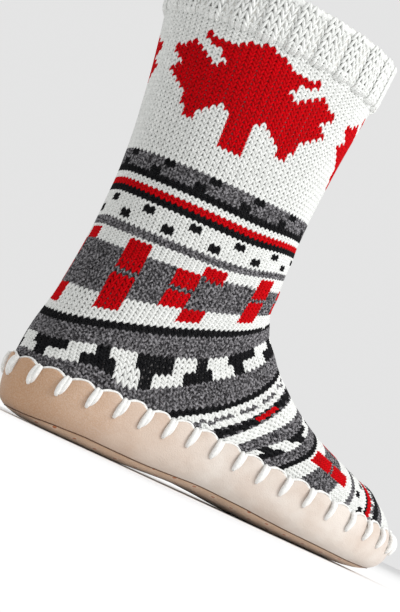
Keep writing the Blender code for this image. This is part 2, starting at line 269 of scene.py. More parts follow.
# Each band ends at a landmark: where its last row lies, as a section of the form, at the
# front, at 50, 90 and 130 degrees round, and at the back.
BANDS = [
    # rows                                    front  50     90     130    back
    (leaf,                                    (5.00, 5.03, 5.08, 5.05, 5.00)),
    (BLOCKS + ["k"] * 2 + ["w"] * 2,          (5.70, 5.80, 5.95, 5.90, 5.80)),
    (["r"] * 2 + ["k"] * 2 + DOTS,            (6.65, 6.80, 7.05, 6.95, 6.80)),
    (["g"] * 2,                               (6.85, 7.05, 7.40, 7.25, 7.05)),
    (BOXES,                                   (10.3, 10.0, 9.63, 9.47, 9.40)),
    (["k"] * 2 + ["g"] * 5,                   (12.4, 11.9, 11.0, 10.2, 10.0)),
    ([STEPS_ABOVE] * 3 + [STEPS_BELOW] * 3,   (14.0, 13.4, 12.3, 10.9, 10.5)),
    (["g"] * 5,                               (15.0, 14.5, 13.4, 11.6, 11.0)),
    (["k"] * 2 + ["w"] * 2 + MOTTLE + ["w"] * 3, (16.5, 15.6, 14.4, 12.6, 12.2)),
    (FLECKS + ["w"] * 4,                      (17.4, 16.6, 15.4, 13.8, 13.6)),
    (["g"] * 4 + [STEPS_ABOVE] * 2 + [STEPS_BELOW] * 2 + ["g"] * 4,
     (18.7, 17.9, 16.7, 16.0, 15.8)),
    (["k"] * 2,                               (18.9, 18.1, 16.9, 16.4, 16.2)),
    (BOXES,                                   (20.7, 20.2, 19.4, 18.9, 18.7)),
    (["g"] * 2 + DOTS,                        (21.4, 21.1, 20.5, 20.1, 19.9)),
    (["k", "r", "r"] + MOTTLE[:2] + ["k"] * 3 + ["g"] * 3, (22.7, 22.4, 21.9, 21.5, 21.3)),
    (["w"] * 6 + leaf_on_toe,                 (27.0, 27.0, 27.0, 27.0, 27.0)),
]
BAND_ANGLES = np.radians([0.0, 50.0, 90.0, 130.0, 180.0])

# The wales of the knit are told off round the leg. Its first row lies at the foot of the
# cuff, and the length of a row is measured in steps of a few degrees.
WALES = 96
FIRST_ROW_PLACE = 2.0
MEASURED_EVERY = 3

chart = []
ends = [0]
marks = [[FIRST_ROW_PLACE] * len(BAND_ANGLES)]
for rows, landmark in BANDS:
    chart += rows
    ends.append(len(chart))
    marks.append(landmark)
row_numbers = np.arange(len(chart) + 1, dtype=float)
row_marks = smooth_curve(np.array(ends, float), np.array(marks), row_numbers)


def knit_row(marks_of_row):
    """One row of the knit as 2 * WALES points round the form, front centre first."""
    half_turn = np.radians(np.arange(0, 180 + MEASURED_EVERY, MEASURED_EVERY))
    place = smooth_curve(BAND_ANGLES, np.array(marks_of_row), half_turn)
    halves = []
    for angles in (half_turn, 2 * math.pi - half_turn):
        line = form_points(place, angles)
        lengths = np.concatenate([[0], np.cumsum(np.linalg.norm(np.diff(line, axis=0), axis=1))])
        even = np.linspace(0, lengths[-1], WALES + 1)
        halves.append(np.stack([np.interp(even, lengths, line[:, axis]) for axis in range(3)], 1))
    outer, inner = halves
    return np.concatenate([outer, inner[-2:0:-1]])


knit = np.array([knit_row(marks_of_row) for marks_of_row in row_marks])


def outward_of(grid):
    """Unit normals of a grid of points whose rows run down the leg and columns round it."""
    down = np.gradient(grid, axis=0)
    padded = np.concatenate([grid[:, -1:], grid, grid[:, :1]], axis=1)
    around = (padded[:, 2:] - padded[:, :-2]) / 2
    normal = np.cross(around, down)
    return normal / np.maximum(np.linalg.norm(normal, axis=2, keepdims=True), 1e-9)


knit_outward = outward_of(knit)

# Soft folds where the sock is slack: ridges that stand over the wall, in millimetres.
FOLDS = [
    # x     y      z      run (x, y, z)         length width height
    (70.0, -20.0, 112.0, (0.25, 0.85, -0.45),   34.0,  5.0,  1.6),
    (74.0, -18.0, 99.0,  (0.35, 0.85, -0.30),   30.0,  4.5,  1.4),
    (66.0, -26.0, 126.0, (0.10, 0.90, 0.35),    26.0,  5.5,  1.1),
    (172.0, -14.0, 40.0, (0.30, 0.90, 0.20),    26.0,  5.0,  1.2),
    (188.0, 2.0, 36.0,   (-0.20, 0.95, 0.05),   24.0,  4.5,  1.3),
    (-28.0, -14.0, 118.0, (0.55, -0.80, 0.10),  24.0,  6.0,  1.2),
    (-33.0, -10.0, 78.0, (0.60, -0.75, 0.20),   26.0,  6.0,  1.2),
]


def fold_height(points):
    """How far the folds lift the knit at each point."""
    height = np.zeros(points.shape[:-1])
    for x, y, z, run, length, width, most in FOLDS:
        run = np.array(run) / np.linalg.norm(run)
        away = points - np.array([x, y, z])
        along = away @ run
        across = np.linalg.norm(away - along[..., None] * run, axis=-1)
        height += most * np.exp(-(along / length) ** 2 - (across / width) ** 2)
    return height


knit = knit + knit_outward * fold_height(knit)[..., None]

# Rows closer than this share a stitch, and none is laid far below the edge of the suede.
STITCH_CLOSEST = 1.1
HIDDEN_UNDER_BAND = 7.0
BAND_HEIGHT = 33.0
BAND_HEIGHTS = np.array([
    # x as a share of the foot, height as a share of the band's
    (-0.17, 0.85), (0.06, 0.95), (0.20, 1.00), (0.42, 0.93), (0.62, 0.86), (0.74, 0.82),
    (0.83, 0.80),
])


def band_edge(x):
    """Height of the band's top edge along the foot, before the scallops."""
    places = BAND_HEIGHTS[:, 0] * FOOT_LENGTH
    heights = BAND_HEIGHTS[:, 1] * BAND_HEIGHT
    x = np.clip(x, places[0], places[-1])
    index = np.clip(np.searchsorted(places, x, side="right") - 1, 0, len(places) - 2)
    share = (x - places[index]) / (places[index + 1] - places[index])
    smooth = share * share * (3 - 2 * share)
    return heights[index] + smooth * (heights[index + 1] - heights[index])


def stitch_cells(grid):
    """(wale, first row, last row) of each stitch: rows that crowd together share one."""
    cells = []
    for wale in range(WALES):
        column = grid[:, 2 * wale + 1]
        lengths = np.linalg.norm(np.diff(column, axis=0), axis=1)
        first = 0
        run = 0.0
        for row, length in enumerate(lengths):
            run += length
            if run < STITCH_CLOSEST:
                continue
            point = column[first]
            if point[2] > band_edge(point[0]) - HIDDEN_UNDER_BAND:
                cells.append((wale, first, row + 1))
            first = row + 1
            run = 0.0
    return np.array(cells)


# Each leg of a stitch: where it starts and ends across the wale, its width as a share of the
# wale, and its height and depth; then where its sunk tips and its two rings lie along it.
LEG_APEX = 0.10
LEG_FOOT = 0.94
LEG_WIDTH_SHARE = 0.25
LEG_HEIGHT = 0.85
LEG_DEPTH = 0.75
LEG_TIPS = (-0.28, 1.55)
LEG_TIPS_SUNK = (0.30, 0.60)
LEG_RINGS = (0.16, 1.08)

MERGED_WITHIN = 0.00001


def turn_outwards(piece, merge=True):
    """Merges a piece's doubles, where asked, and turns all its faces outwards."""
    bpy.ops.object.select_all(action="DESELECT")
    bpy.context.view_layer.objects.active = piece
    piece.select_set(True)
    bpy.ops.object.mode_set(mode="EDIT")
    bpy.ops.mesh.select_all(action="SELECT")
    if merge:
        bpy.ops.mesh.remove_doubles(threshold=MERGED_WITHIN)
    bpy.ops.mesh.normals_make_consistent(inside=False)
    bpy.ops.object.mode_set(mode="OBJECT")


def add_stitches(name, grid, outward, cells, yarn, lift=0.0):
    """A joined mesh of knit stitches. Each is a pair of plump legs that meet at its top."""
    wale, first, last = cells.T
    columns = grid.shape[1]
    left = 2 * wale
    middle = 2 * wale + 1
    right = (2 * wale + 2) % columns
    up = outward[first, middle]
    raised = up * np.reshape(lift, (-1, 1))
    starts = []
    feet = []
    for side in (left, right):
        starts.append(grid[first, middle] * (1 - LEG_APEX) + grid[first, side] * LEG_APEX + raised)
        feet.append(grid[last, middle] * (1 - LEG_FOOT) + grid[last, side] * LEG_FOOT + raised)
    start = np.concatenate(starts)
    foot = np.concatenate(feet)
    up = np.tile(up, (2, 1))
    wale_width = np.linalg.norm(grid[first, right] - grid[first, left], axis=1)
    half = np.tile(wale_width, 2)[:, None] * LEG_WIDTH_SHARE
    run = foot - start
    length = np.maximum(np.linalg.norm(run, axis=1, keepdims=True), 1e-6)
    across = np.cross(up, run / length)
    across /= np.maximum(np.linalg.norm(across, axis=1, keepdims=True), 1e-6)
    points = [start + run * LEG_TIPS[0] - up * LEG_TIPS_SUNK[0]]
    for share in LEG_RINGS:
        centre = start + run * share
        points += [
            centre - across * half,
            centre + up * LEG_HEIGHT,
            centre + across * half,
            centre - up * LEG_DEPTH,
        ]
    points.append(start + run * LEG_TIPS[1] - up * LEG_TIPS_SUNK[1])
    foot_tip = len(points) - 1
    points = np.stack(points, axis=1) * METRES
    count = len(points)
    ring = [(1, 2, 3, 4), (5, 6, 7, 8)]
    faces = []
    for corner in range(4):
        after = (corner + 1) % 4
        faces.append((0, ring[0][corner], ring[0][after]))
        faces.append((ring[0][corner], ring[1][corner], ring[1][after]))
        faces.append((ring[0][corner], ring[1][after], ring[0][after]))
        faces.append((ring[1][corner], foot_tip, ring[1][after]))
    faces = np.array(faces)
    all_faces = (faces[None] + np.arange(count)[:, None, None] * points.shape[1]).reshape(-1, 3)
    mesh = bpy.data.meshes.new(name)
    mesh.from_pydata(points.reshape(-1, 3), [], all_faces)
    mesh.update()
    piece = bpy.data.objects.new(name, mesh)
    bpy.context.scene.collection.objects.link(piece)
    turn_outwards(piece, merge=False)
    mesh.shade_smooth()
    mesh.materials.append(yarn)
    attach(piece, "root")


class Value:
    """A socket of a material's nodes that can be written in sums."""

    def __init__(self, finish, socket):
        self.finish = finish
        self.socket = socket

    def sum(self, operation, other, turned=False):
        """The outcome of one operation with another value or a number."""
        pair = (other, self) if turned else (self, other)
        return self.finish.node("ShaderNodeMath", {"operation": operation}, dict(enumerate(pair)))

    def __add__(self, other):
        return self.sum("ADD", other)

    def __sub__(self, other):
        return self.sum("SUBTRACT", other)

    def __rsub__(self, other):
        return self.sum("SUBTRACT", other, turned=True)

    def __mul__(self, other):
        return self.sum("MULTIPLY", other)

    __radd__ = __add__
    __rmul__ = __mul__


class Finish:
    """A material being made: node() adds a node, and feed() sets or links a socket."""

    def __init__(self, name):
        self.material = bpy.data.materials.new(name)
        self.material.use_nodes = True
        self.tree = self.material.node_tree
        self.surface = self.tree.nodes["Principled BSDF"]
        self.place = self.node("ShaderNodeTexCoord", output="Object")

    def node(self, kind, settings=None, values=None, output=0):
        """Adds a node, sets it up, fills or links its sockets, and gives one of its outputs."""
        made = self.tree.nodes.new(kind)
        for name, value in (settings or {}).items():
            setattr(made, name, value)
        for name, value in (values or {}).items():
            self.feed(made.inputs[name], value)
        return Value(self, made.outputs[output])

    def feed(self, socket, value):
        """Links a value to a socket, or writes a number or a colour into it."""
        if isinstance(value, Value):
            self.tree.links.new(value.socket, socket)
        else:
            socket.default_value = value

    def noise(self, scale, detail=2.0):
        """Noise that lies fast on the piece, finer as the scale grows."""
        values = {"Vector": self.place, "Scale": scale, "Detail": detail}
        return self.node("ShaderNodeTexNoise", values=values, output="Fac")

    def ramp(self, value, low, high, low_to=0.0, high_to=1.0):
        """Turns the range from low to high into another one, and stops at its ends."""
        values = {"Value": value, 1: low, 2: high, 3: low_to, 4: high_to}
        return self.node("ShaderNodeMapRange", {"clamp": True}, values)

    def mix(self, factor, first, second):
        """A colour between two others."""
        return self.node(
            "ShaderNodeMix", {"data_type": "RGBA"}, {0: factor, 6: first, 7: second}, output=2
        )

    def set(self, **values):
        """Feeds sockets of the shader, which are named with low lines for spaces."""
        for name, value in values.items():
            self.feed(self.surface.inputs[name.replace("_", " ")], value)

    def bump(self, height, strength, distance):
        """Lets light fall on the surface as if it rose by the height times the distance."""
        values = {"Height": height, "Strength": strength, "Distance": distance}
        self.feed(self.surface.inputs["Normal"], self.node("ShaderNodeBump", values=values))


# Flecks run into each other, the colour drifts over some centimetres, and the twist is fine.
FLECK_SOFTNESS = 0.24
DRIFT_SCALE = 28.0
TWIST_SCALE = 1900.0


def wool(name, dark, light, fleck_scale, soft=0.0, darkness=0.38):
    """Wool yarn: uneven in colour, quite matt, with a soft halo and a fine twist."""
    yarn = Finish(name)
    flecks = yarn.ramp(yarn.noise(fleck_scale, 3.0), darkness, darkness + FLECK_SOFTNESS)
    drift = yarn.ramp(yarn.noise(DRIFT_SCALE, 1.0), 0.3, 0.7, high_to=0.25)
    shade = yarn.mix(flecks, (*dark, 1.0), (*light, 1.0))
    middle = tuple((first + second) / 2 for first, second in zip(dark, light))
    yarn.set(Base_Color=yarn.mix(drift, shade, (*middle, 1.0)))
    yarn.set(Roughness=yarn.ramp(flecks, 0.0, 1.0, low_to=0.82, high_to=0.95))
    yarn.surface.inputs["Sheen Weight"].default_value = soft
    yarn.surface.inputs["Sheen Roughness"].default_value = 0.5
    yarn.surface.inputs["Specular IOR Level"].default_value = 0.1
    yarn.bump(yarn.noise(TWIST_SCALE), strength=0.35, distance=0.0004)
    return yarn.material


YARNS = {
    "w": wool("white wool", (0.65, 0.66, 0.64), (0.78, 0.79, 0.77), 500.0, soft=0.2),
    "r": wool("red wool", (0.40, 0.0, 0.002), (0.56, 0.0, 0.004), 500.0),
    "k": wool("black wool", (0.003, 0.003, 0.004), (0.012, 0.012, 0.013), 500.0),
    "g": wool("grey marl wool", (0.014, 0.013, 0.015), (0.31, 0.302, 0.315), 800.0, darkness=0.42),
}
YARN_NAMES = {"w": "white", "r": "red", "k": "black", "g": "grey"}
SHAFT_ROWS_OF_KNIT = 66

cells = stitch_cells(knit)
letters = np.array([chart[row][wale % len(chart[row])] for wale, row, _ in cells])
for letter, yarn in YARNS.items():
    chosen = letters == letter
    halves = {"": chosen}
    if letter == "w":
        on_shaft = cells[:, 1] < SHAFT_ROWS_OF_KNIT
        halves = {"_shaft": chosen & on_shaft, "_foot": chosen & ~on_shaft}
    for ending, part in halves.items():
        name = "knit_" + YARN_NAMES[letter] + ending
        add_stitches(name, knit, knit_outward, cells[part], yarn)


# The cuff is the same white wool in a two by two rib that stands a little proud of the shaft.
# It is knitted on at the collar and ends in a cast-on edge that rolls over the wall.

CUFF_KNIT_ROWS = 11
CUFF_START = -0.02
CUFF_END = 2.0
RIB_REPEAT = 4
RIB_WALES = 2
RIB_DEPTH = 0.9
RIB_GROOVE = -0.15
cuff_places = np.linspace(CUFF_START, CUFF_END, CUFF_KNIT_ROWS + 1)
cuff = np.array([knit_row([place] * len(BAND_ANGLES)) for place in np.clip(cuff_places, 0, None)])
cuff_cells = np.array([
    (wale, row, row + 1) for wale in range(WALES) for row in range(CUFF_KNIT_ROWS)
])
rib = np.where(cuff_cells[:, 0] % RIB_REPEAT < RIB_WALES, RIB_DEPTH, RIB_GROOVE)
add_stitches("cuff_rib", cuff, outward_of(cuff), cuff_cells, YARNS["w"], rib)

# The rolled edge lies this far in and down from the rim, beaded where its stitches bulge.
EDGE_RADIUS = 1.7
EDGE_POINTS = 192
EDGE_IN = KNIT_WALL / 2 - 0.3
EDGE_DOWN = EDGE_RADIUS - 0.1
EDGE_BEADS = 0.07


def yarn_curve(name, radius, roundness=2):
    """A curve to which lengths of yarn of one thickness are added."""
    curve = bpy.data.curves.new(name, "CURVE")
    curve.dimensions = "3D"
    curve.bevel_depth = radius * METRES
    curve.bevel_resolution = roundness
    curve.use_fill_caps = True
    return curve


def add_length(curve, points, widths, closed=False):
    """Adds one length of yarn through the points, each with its own share of the thickness."""
    line = curve.splines.new("POLY")
    line.use_cyclic_u = closed
    line.points.add(len(points) - 1)
    for spot, point, width in zip(line.points, points, widths):
        spot.co = (*(point * METRES), 1.0)
        spot.radius = width


def finish_yarn(curve, yarn):
    """Makes the curve a mesh of its yarn, which rides on the sock."""
    bpy.ops.object.select_all(action="DESELECT")
    piece = bpy.data.objects.new(curve.name, curve)
    bpy.context.scene.collection.objects.link(piece)
    piece.select_set(True)
    bpy.context.view_layer.objects.active = piece
    bpy.ops.object.convert(target="MESH")
    turn_outwards(piece)
    piece.data.shade_smooth()
    piece.data.materials.append(yarn)
    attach(piece, "root")


edge_turns = np.linspace(0, 2 * math.pi, EDGE_POINTS + 1)[:-1]
collar = form_points(np.zeros(EDGE_POINTS), edge_turns)
inward = collar.mean(axis=0) - collar
inward /= np.linalg.norm(inward, axis=1, keepdims=True)
edge_line = collar + inward * EDGE_IN - np.array([0.0, 0.0, EDGE_DOWN])
rolled_edge = yarn_curve("collar_edge", EDGE_RADIUS)
add_length(rolled_edge, edge_line, 1 + EDGE_BEADS * np.cos(edge_turns * WALES / 2), closed=True)
finish_yarn(rolled_edge, YARNS["w"])


# The imported wall is the knit seen from inside, brushed to a pale fleece. Outside, below the
# cuff, it gets painted shade: a dark grey that stands in for the shadow in the small holes between
# stitches.

CUFF_FOOT = 214.0
WALL_ROWS = 200

# A sheet over the form stops just short of the tip of the toe, where its sections close up.
ROUND_POINTS = 128
TIP_SHORTFALL = 0.02

lining = Finish("knit lining")
nap = lining.noise(420.0, 4.0)
lining.set(Base_Color=lining.mix(nap, (0.46, 0.45, 0.42, 1.0), (0.68, 0.67, 0.63, 1.0)))
lining.set(Roughness=lining.ramp(nap, 0.0, 1.0, low_to=0.85))
lining.surface.inputs["Sheen Weight"].default_value = 0.4
lining.bump(nap, strength=0.6, distance=0.001)

# Painted shade: a dark grey for the wall's outside, standing in for the shadow in the holes
# between stitches.
painted_gap_shade = Finish("painted gap shade")
nap = painted_gap_shade.noise(600.0, 3.0)
gap_shade_dark = (0.06, 0.055, 0.055, 1.0)
gap_shade_light = (0.12, 0.115, 0.115, 1.0)
painted_gap_shade.set(Base_Color=painted_gap_shade.mix(nap, gap_shade_dark, gap_shade_light))
painted_gap_shade.set(Roughness=painted_gap_shade.ramp(nap, 0.0, 1.0, low_to=0.9))
painted_gap_shade.bump(nap, strength=0.5, distance=0.0008)


def form_sheet(first_place, rows):
    """A grid of points on the form, from one of its sections down to the tip of the toe."""
    turns = np.linspace(0, 2 * math.pi, ROUND_POINTS + 1)[:-1]
    places = np.linspace(first_place, LAST_SECTION - TIP_SHORTFALL, rows)
    return np.array([form_points(np.full(ROUND_POINTS, place), turns) for place in places])


def tree_of(grid):
    """A search tree of the closed sheet that the grid's points make."""
    rows, columns = grid.shape[:2]
    faces = []
    for row in range(rows - 1):
        for column in range(columns):
            after = (column + 1) % columns
            faces.append((
                row * columns + column, row * columns + after,
                (row + 1) * columns + after, (row + 1) * columns + column,
            ))
    last = (rows - 1) * columns
    faces.append(tuple(range(last, last + columns)))
    return BVHTree.FromPolygons([Vector(point) for point in grid.reshape(-1, 3)], faces)


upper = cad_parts["knit_upper"]
upper.data.materials.clear()
upper.data.materials.append(lining.material)
upper.data.materials.append(painted_gap_shade.material)
outside_tree = tree_of(form_sheet(0.0, WALL_ROWS))
# Faces on the outside below the cuff take the painted shade of the holes between stitches.
for face in upper.data.polygons:
    centre = upper.matrix_world @ face.center / METRES
    depth = outside_tree.find_nearest(centre)[3]
    if depth < KNIT_WALL / 2 and centre.z < CUFF_FOOT:
        face.material_index = 1


# The suede band wraps up the sides of the foot. Its top edge is cut in scallops, each one
# pulled in a little where a stitch bites, and its lower edge meets the panel at the seam.

# The suede lies over the knit with a gap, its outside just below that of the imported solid.
GAP = 0.3
SUEDE = 2.3
SUNK = 0.1
SEAM_INSET = 7.0
SCALLOP_PITCH = 14.3
SCALLOP_DEPTH = 3.0
SCALLOP_STEPS = 12
OUTLINE_LEVEL = 15.0
BAND_TOP_SECTION = 9.0
BAND_SHEET_ROWS = 180

# Level rays find the outline of the form, from a line between the heel and the ball.
END_RAYS = 48
SIDE_RAYS = 40
BALL_ALONG = 0.60
BALL_ACROSS = 0.04

form = form_sheet(BAND_TOP_SECTION, BAND_SHEET_ROWS)
knit_tree = tree_of(form)
suede_tree = tree_of(form + outward_of(form) * (GAP + SUEDE - SUNK))
heel_middle = Vector((0.0, 0.0, OUTLINE_LEVEL))
ball_middle = Vector((BALL_ALONG * FOOT_LENGTH, BALL_ACROSS * BALL_WIDTH, OUTLINE_LEVEL))


def rays_round(middle, first_turn):
    """Level rays that fan out over half a turn from the middle of one end of the foot."""
    turns = [first_turn + math.pi * ray / END_RAYS for ray in range(END_RAYS + 1)]
    return [(middle, Vector((math.cos(turn), math.sin(turn), 0.0))) for turn in turns]


def rays_between(start, end, across):
    """Level rays to one side of the foot, from spots between the middles of its two ends."""
    spots = [start.lerp(end, ray / SIDE_RAYS) for ray in range(1, SIDE_RAYS)]
    return [(spot, Vector((0.0, across, 0.0))) for spot in spots]


rays = rays_round(heel_middle, math.pi / 2)
rays += rays_between(heel_middle, ball_middle, -1.0)
rays += rays_round(ball_middle, -math.pi / 2)
rays += rays_between(ball_middle, heel_middle, 1.0)
outline = np.array([knit_tree.ray_cast(start, way)[0].to_2d() for start, way in rays])
middles = np.array([start.to_2d() for start, way in rays])

closed = np.concatenate([outline, outline[:1]])
outline_lengths = np.concatenate([[0], np.cumsum(np.linalg.norm(np.diff(closed, axis=0), axis=1))])
scallops = round(outline_lengths[-1] / SCALLOP_PITCH)
stations = scallops * SCALLOP_STEPS
even = np.arange(stations) / stations * outline_lengths[-1]
edge = np.stack([np.interp(even, outline_lengths, closed[:, axis]) for axis in (0, 1)], 1)
edge_run = np.roll(edge, -1, axis=0) - np.roll(edge, 1, axis=0)
edge_out = np.stack([edge_run[:, 1], -edge_run[:, 0]], 1)
edge_out /= np.linalg.norm(edge_out, axis=1, keepdims=True)

# Rays towards the suede start this far inside its outline, or this high over the floor.
INSIDE_SUEDE = 22.0
ABOVE_SUEDE = 12.0


def suede_side(station, height):
    """The point on the suede's outside that is level with a height at one station."""
    start = edge[station] - edge_out[station] * INSIDE_SUEDE
    hit = suede_tree.ray_cast(Vector((*start, height)), Vector((*edge_out[station], 0.0)))
    return np.array(hit[0])


def suede_below(point):
    """The point on the suede's underside straight below a point of the plan."""
    hit = suede_tree.ray_cast(Vector((*point, ABOVE_SUEDE)), Vector((0.0, 0.0, -1.0)))
    found = np.array(hit[0])
    found[2] = max(found[2], 0.0)
    return found


def sheet_from_grid(name, grid):
    """A mesh sheet whose vertices are the grid's points, its first and last columns joined."""
    grid = np.concatenate([grid, grid[:, :1]], axis=1)
    rows, columns = grid.shape[:2]
    bpy.ops.object.select_all(action="DESELECT")
    bpy.ops.mesh.primitive_grid_add(x_subdivisions=columns - 1, y_subdivisions=rows - 1, size=1.0)
    piece = bpy.context.object
    piece.name = name
    piece.data.name = name
    piece.data.vertices.foreach_set("co", (grid * METRES).astype(np.float32).ravel())
    piece.data.update()
    turn_outwards(piece)
    return piece


def thicken(piece, thickness, rounding):
    """Gives a sheet its thickness, inwards, and rounds the cut edges."""
    wall = piece.modifiers.new("wall", "SOLIDIFY")
    wall.thickness = thickness * METRES
    wall.offset = -1.0
    soften = piece.modifiers.new("soft edges", "BEVEL")
    soften.width = rounding * METRES
    soften.segments = 2
    soften.limit_method = "ANGLE"
    soften.angle_limit = math.radians(50.0)
    bpy.context.view_layer.objects.active = piece
    bpy.ops.object.modifier_apply(modifier=wall.name)
    bpy.ops.object.modifier_apply(modifier=soften.name)
    piece.data.shade_smooth()


# The band is laid level by level down its side, then in a fan round its lower corner to the
# seam. Near its edge it bulges at each scallop and is pulled in at each notch.
SIDE_SHARES = (0.0, 0.06, 0.14, 0.26, 0.42, 0.60, 0.80, 1.0)
PUCKER = 0.9
PUCKER_LEVEL = 0.55
PUCKER_REACH = 0.375
FAN_TURNS = np.radians([14, 28, 42, 55, 67, 79, 90])
FAN_REACH = (SEAM_INSET, OUTLINE_LEVEL - 1.0)
RIM = SEAM_INSET - SUEDE - 0.4
BAND_SHEET = SUEDE - 0.4
BAND_ROUNDING = 0.5


def suede_fan(station, turn):
    """A point on the suede's outside, seen from a spot above the seam at one station."""
    start = Vector((*(edge[station] - edge_out[station] * RIM), OUTLINE_LEVEL))
    level = edge_out[station] * FAN_REACH[0] * math.cos(turn)
    hit = suede_tree.ray_cast(start, Vector((*level, -FAN_REACH[1] * math.sin(turn))))
    found = np.array(hit[0])
    found[2] = max(found[2], 0.0)
    return found


band_grid = []
swell = np.abs(np.sin(math.pi * np.arange(stations) / SCALLOP_STEPS))
edge_heights = band_edge(edge[:, 0]) - SCALLOP_DEPTH * (1 - swell)
for share in SIDE_SHARES:
    row = []
    for station in range(stations):
        height = edge_heights[station] + share * (OUTLINE_LEVEL - edge_heights[station])
        point = suede_side(station, height)
        ease = math.exp(-((share / PUCKER_REACH) ** 2))
        point[:2] += edge_out[station] * (PUCKER * (swell[station] - PUCKER_LEVEL) * ease)
        row.append(point)
    band_grid.append(row)
for turn in FAN_TURNS:
    band_grid.append([suede_fan(station, turn) for station in range(stations)])
band = sheet_from_grid("suede_band", np.array(band_grid))
thicken(band, BAND_SHEET, BAND_ROUNDING)

# The suede grows darker and browner from the waist back to the heel, partly a tan tone and partly
# painted shade on the heel's side away from the lamp; places are in metres along the foot.
HEEL_TAN_AND_SHADE_FROM = 0.065
HEEL_TAN_AND_SHADE_FULL = -0.040
HEEL_TAN_AND_SHADE_SHARE = 0.92
suede = Finish("pale suede")
grain = suede.noise(1500.0, 4.0)
mottle = suede.ramp(suede.noise(45.0, 3.0), 0.38, 0.62)
base = suede.mix(mottle, (0.565, 0.475, 0.41, 1.0), (0.655, 0.595, 0.54, 1.0))
along_foot = suede.node("ShaderNodeSeparateXYZ", values={"Vector": suede.place}, output="X")
# Towards the heel the suede is mixed to a dark brown: partly its tan tone, partly painted shade.
heel_tan_and_shade = suede.ramp(along_foot, HEEL_TAN_AND_SHADE_FROM, HEEL_TAN_AND_SHADE_FULL, high_to=HEEL_TAN_AND_SHADE_SHARE)
base = suede.mix(heel_tan_and_shade, base, (0.44, 0.245, 0.125, 1.0))
nap = suede.ramp(grain, 0.42, 0.62, high_to=0.18)
suede.set(Base_Color=suede.mix(nap, base, (0.69, 0.62, 0.56, 1.0)))
suede.set(Roughness=suede.ramp(grain, 0.3, 0.7, low_to=0.8, high_to=0.98))
suede.surface.inputs["Sheen Weight"].default_value = 0.3
suede.surface.inputs["Sheen Roughness"].default_value = 0.4
suede.surface.inputs["Specular IOR Level"].default_value = 0.2
fine_hairs = suede.noise(2600.0)
dents = suede.noise(110.0, 1.0)
suede.bump(grain + 0.4 * fine_hairs + 2.2 * dents, strength=0.5, distance=0.0005)
band.data.materials.append(suede.material)
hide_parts("side_band")
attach(band, "root")


# The panel under the foot is a rougher, browner suede, printed all over with small grip dots
# that stand in staggered rows along the foot. A dark sunk seam joins it to the band.

PANEL_SHARES = (0.0, 0.05, 0.14, 0.28, 0.46, 0.66, 0.86, 1.0)
PANEL_GAP = 0.7
PANEL_SHEET = SUEDE - 0.7
PANEL_ROUNDING = 0.4
outline_run = np.roll(outline, -1, axis=0) - np.roll(outline, 1, axis=0)
outline_out = np.stack([outline_run[:, 1], -outline_run[:, 0]], 1)
outline_out /= np.linalg.norm(outline_out, axis=1, keepdims=True)
panel_rim = outline - outline_out * (RIM + PANEL_GAP)
panel_grid = []
for share in PANEL_SHARES:
    plan = panel_rim + share * (middles - panel_rim)
    panel_grid.append([suede_below(point) for point in plan])
panel = sheet_from_grid("dotted_panel", np.array(panel_grid))
thicken(panel, PANEL_SHEET, PANEL_ROUNDING)

# Each dot has a soft edge and a paler ring, where the suede is pressed. The pattern starts
# some periods before the heel, so that no place of it is negative.
DOT_ALONG = 12.6
DOT_ACROSS = 14.6
DOT_RADIUS = 1.05
DOT_EDGE = 0.15
HALO_FROM = DOT_RADIUS + 0.5
HALO_TO = DOT_RADIUS + 1.6
PERIODS_BEFORE = 40
printed = Finish("dotted suede")
grain = printed.noise(800.0, 4.0)
mottle = printed.ramp(printed.noise(40.0, 3.0), 0.35, 0.65)
ground = printed.mix(mottle, (0.52, 0.345, 0.22, 1.0), (0.62, 0.43, 0.29, 1.0))
nap = printed.ramp(grain, 0.42, 0.62, high_to=0.4)
ground = printed.mix(nap, ground, (0.68, 0.50, 0.355, 1.0))
place = {"Vector": printed.place}
x = printed.node("ShaderNodeSeparateXYZ", values=place, output="X") * (1 / METRES)
y = printed.node("ShaderNodeSeparateXYZ", values=place, output="Y") * (1 / METRES)


def nearest_dot(shift_along, shift_across):
    """Distance to the nearest dot of one of the two lattices that make the staggered rows."""
    def from_middle(value, period, shift):
        turned = (value + shift + PERIODS_BEFORE * period).sum("MODULO", period)
        return turned - period / 2
    along = from_middle(x, DOT_ALONG, shift_along)
    across = from_middle(y, DOT_ACROSS, shift_across)
    return (along * along + across * across).sum("POWER", 0.5)


dot_distance = nearest_dot(0.0, 0.0).sum("MINIMUM", nearest_dot(DOT_ALONG / 2, DOT_ACROSS / 2))
halo = printed.ramp(dot_distance, HALO_FROM, HALO_TO, low_to=1.0, high_to=0.0)
dot = printed.ramp(
    dot_distance, DOT_RADIUS - DOT_EDGE, DOT_RADIUS + DOT_EDGE, low_to=1.0, high_to=0.0
)
ground = printed.mix(halo * 0.35, ground, (0.78, 0.66, 0.54, 1.0))
printed.set(Base_Color=printed.mix(dot, ground, (0.46, 0.13, 0.03, 1.0)))
printed.set(Roughness=printed.ramp(dot, 0.0, 1.0, low_to=0.92, high_to=0.5))
printed.surface.inputs["Sheen Weight"].default_value = 0.3
printed.bump(grain * (1 - dot) + dot * 1.5, strength=0.6, distance=0.0006)
panel.data.materials.append(printed.material)
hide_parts("sole_panel")
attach(panel, "root")

# The thread lies half sunk in the groove between band and panel.
SEAM_THREAD = 0.55
SEAM_LINE = SEAM_INSET - SUEDE - 0.05
SEAM_SUNK = 0.35
SEAM_EVERY = 2
seam_line = [
    suede_below(edge[station] - edge_out[station] * SEAM_LINE) + np.array([0.0, 0.0, SEAM_SUNK])
    for station in range(0, stations, SEAM_EVERY)
]
seam = yarn_curve("seam_thread", SEAM_THREAD, roundness=1)
add_length(seam, seam_line, np.ones(len(seam_line)), closed=True)
seam_yarn = wool("seam thread", (0.10, 0.05, 0.03), (0.16, 0.09, 0.06), 900.0, soft=0.1)
finish_yarn(seam, seam_yarn)


# Thick white yarn sews the band to the knit in blanket stitch: at each notch it bites down
# into the suede, and from there it runs along the top of the scallop to the next notch.

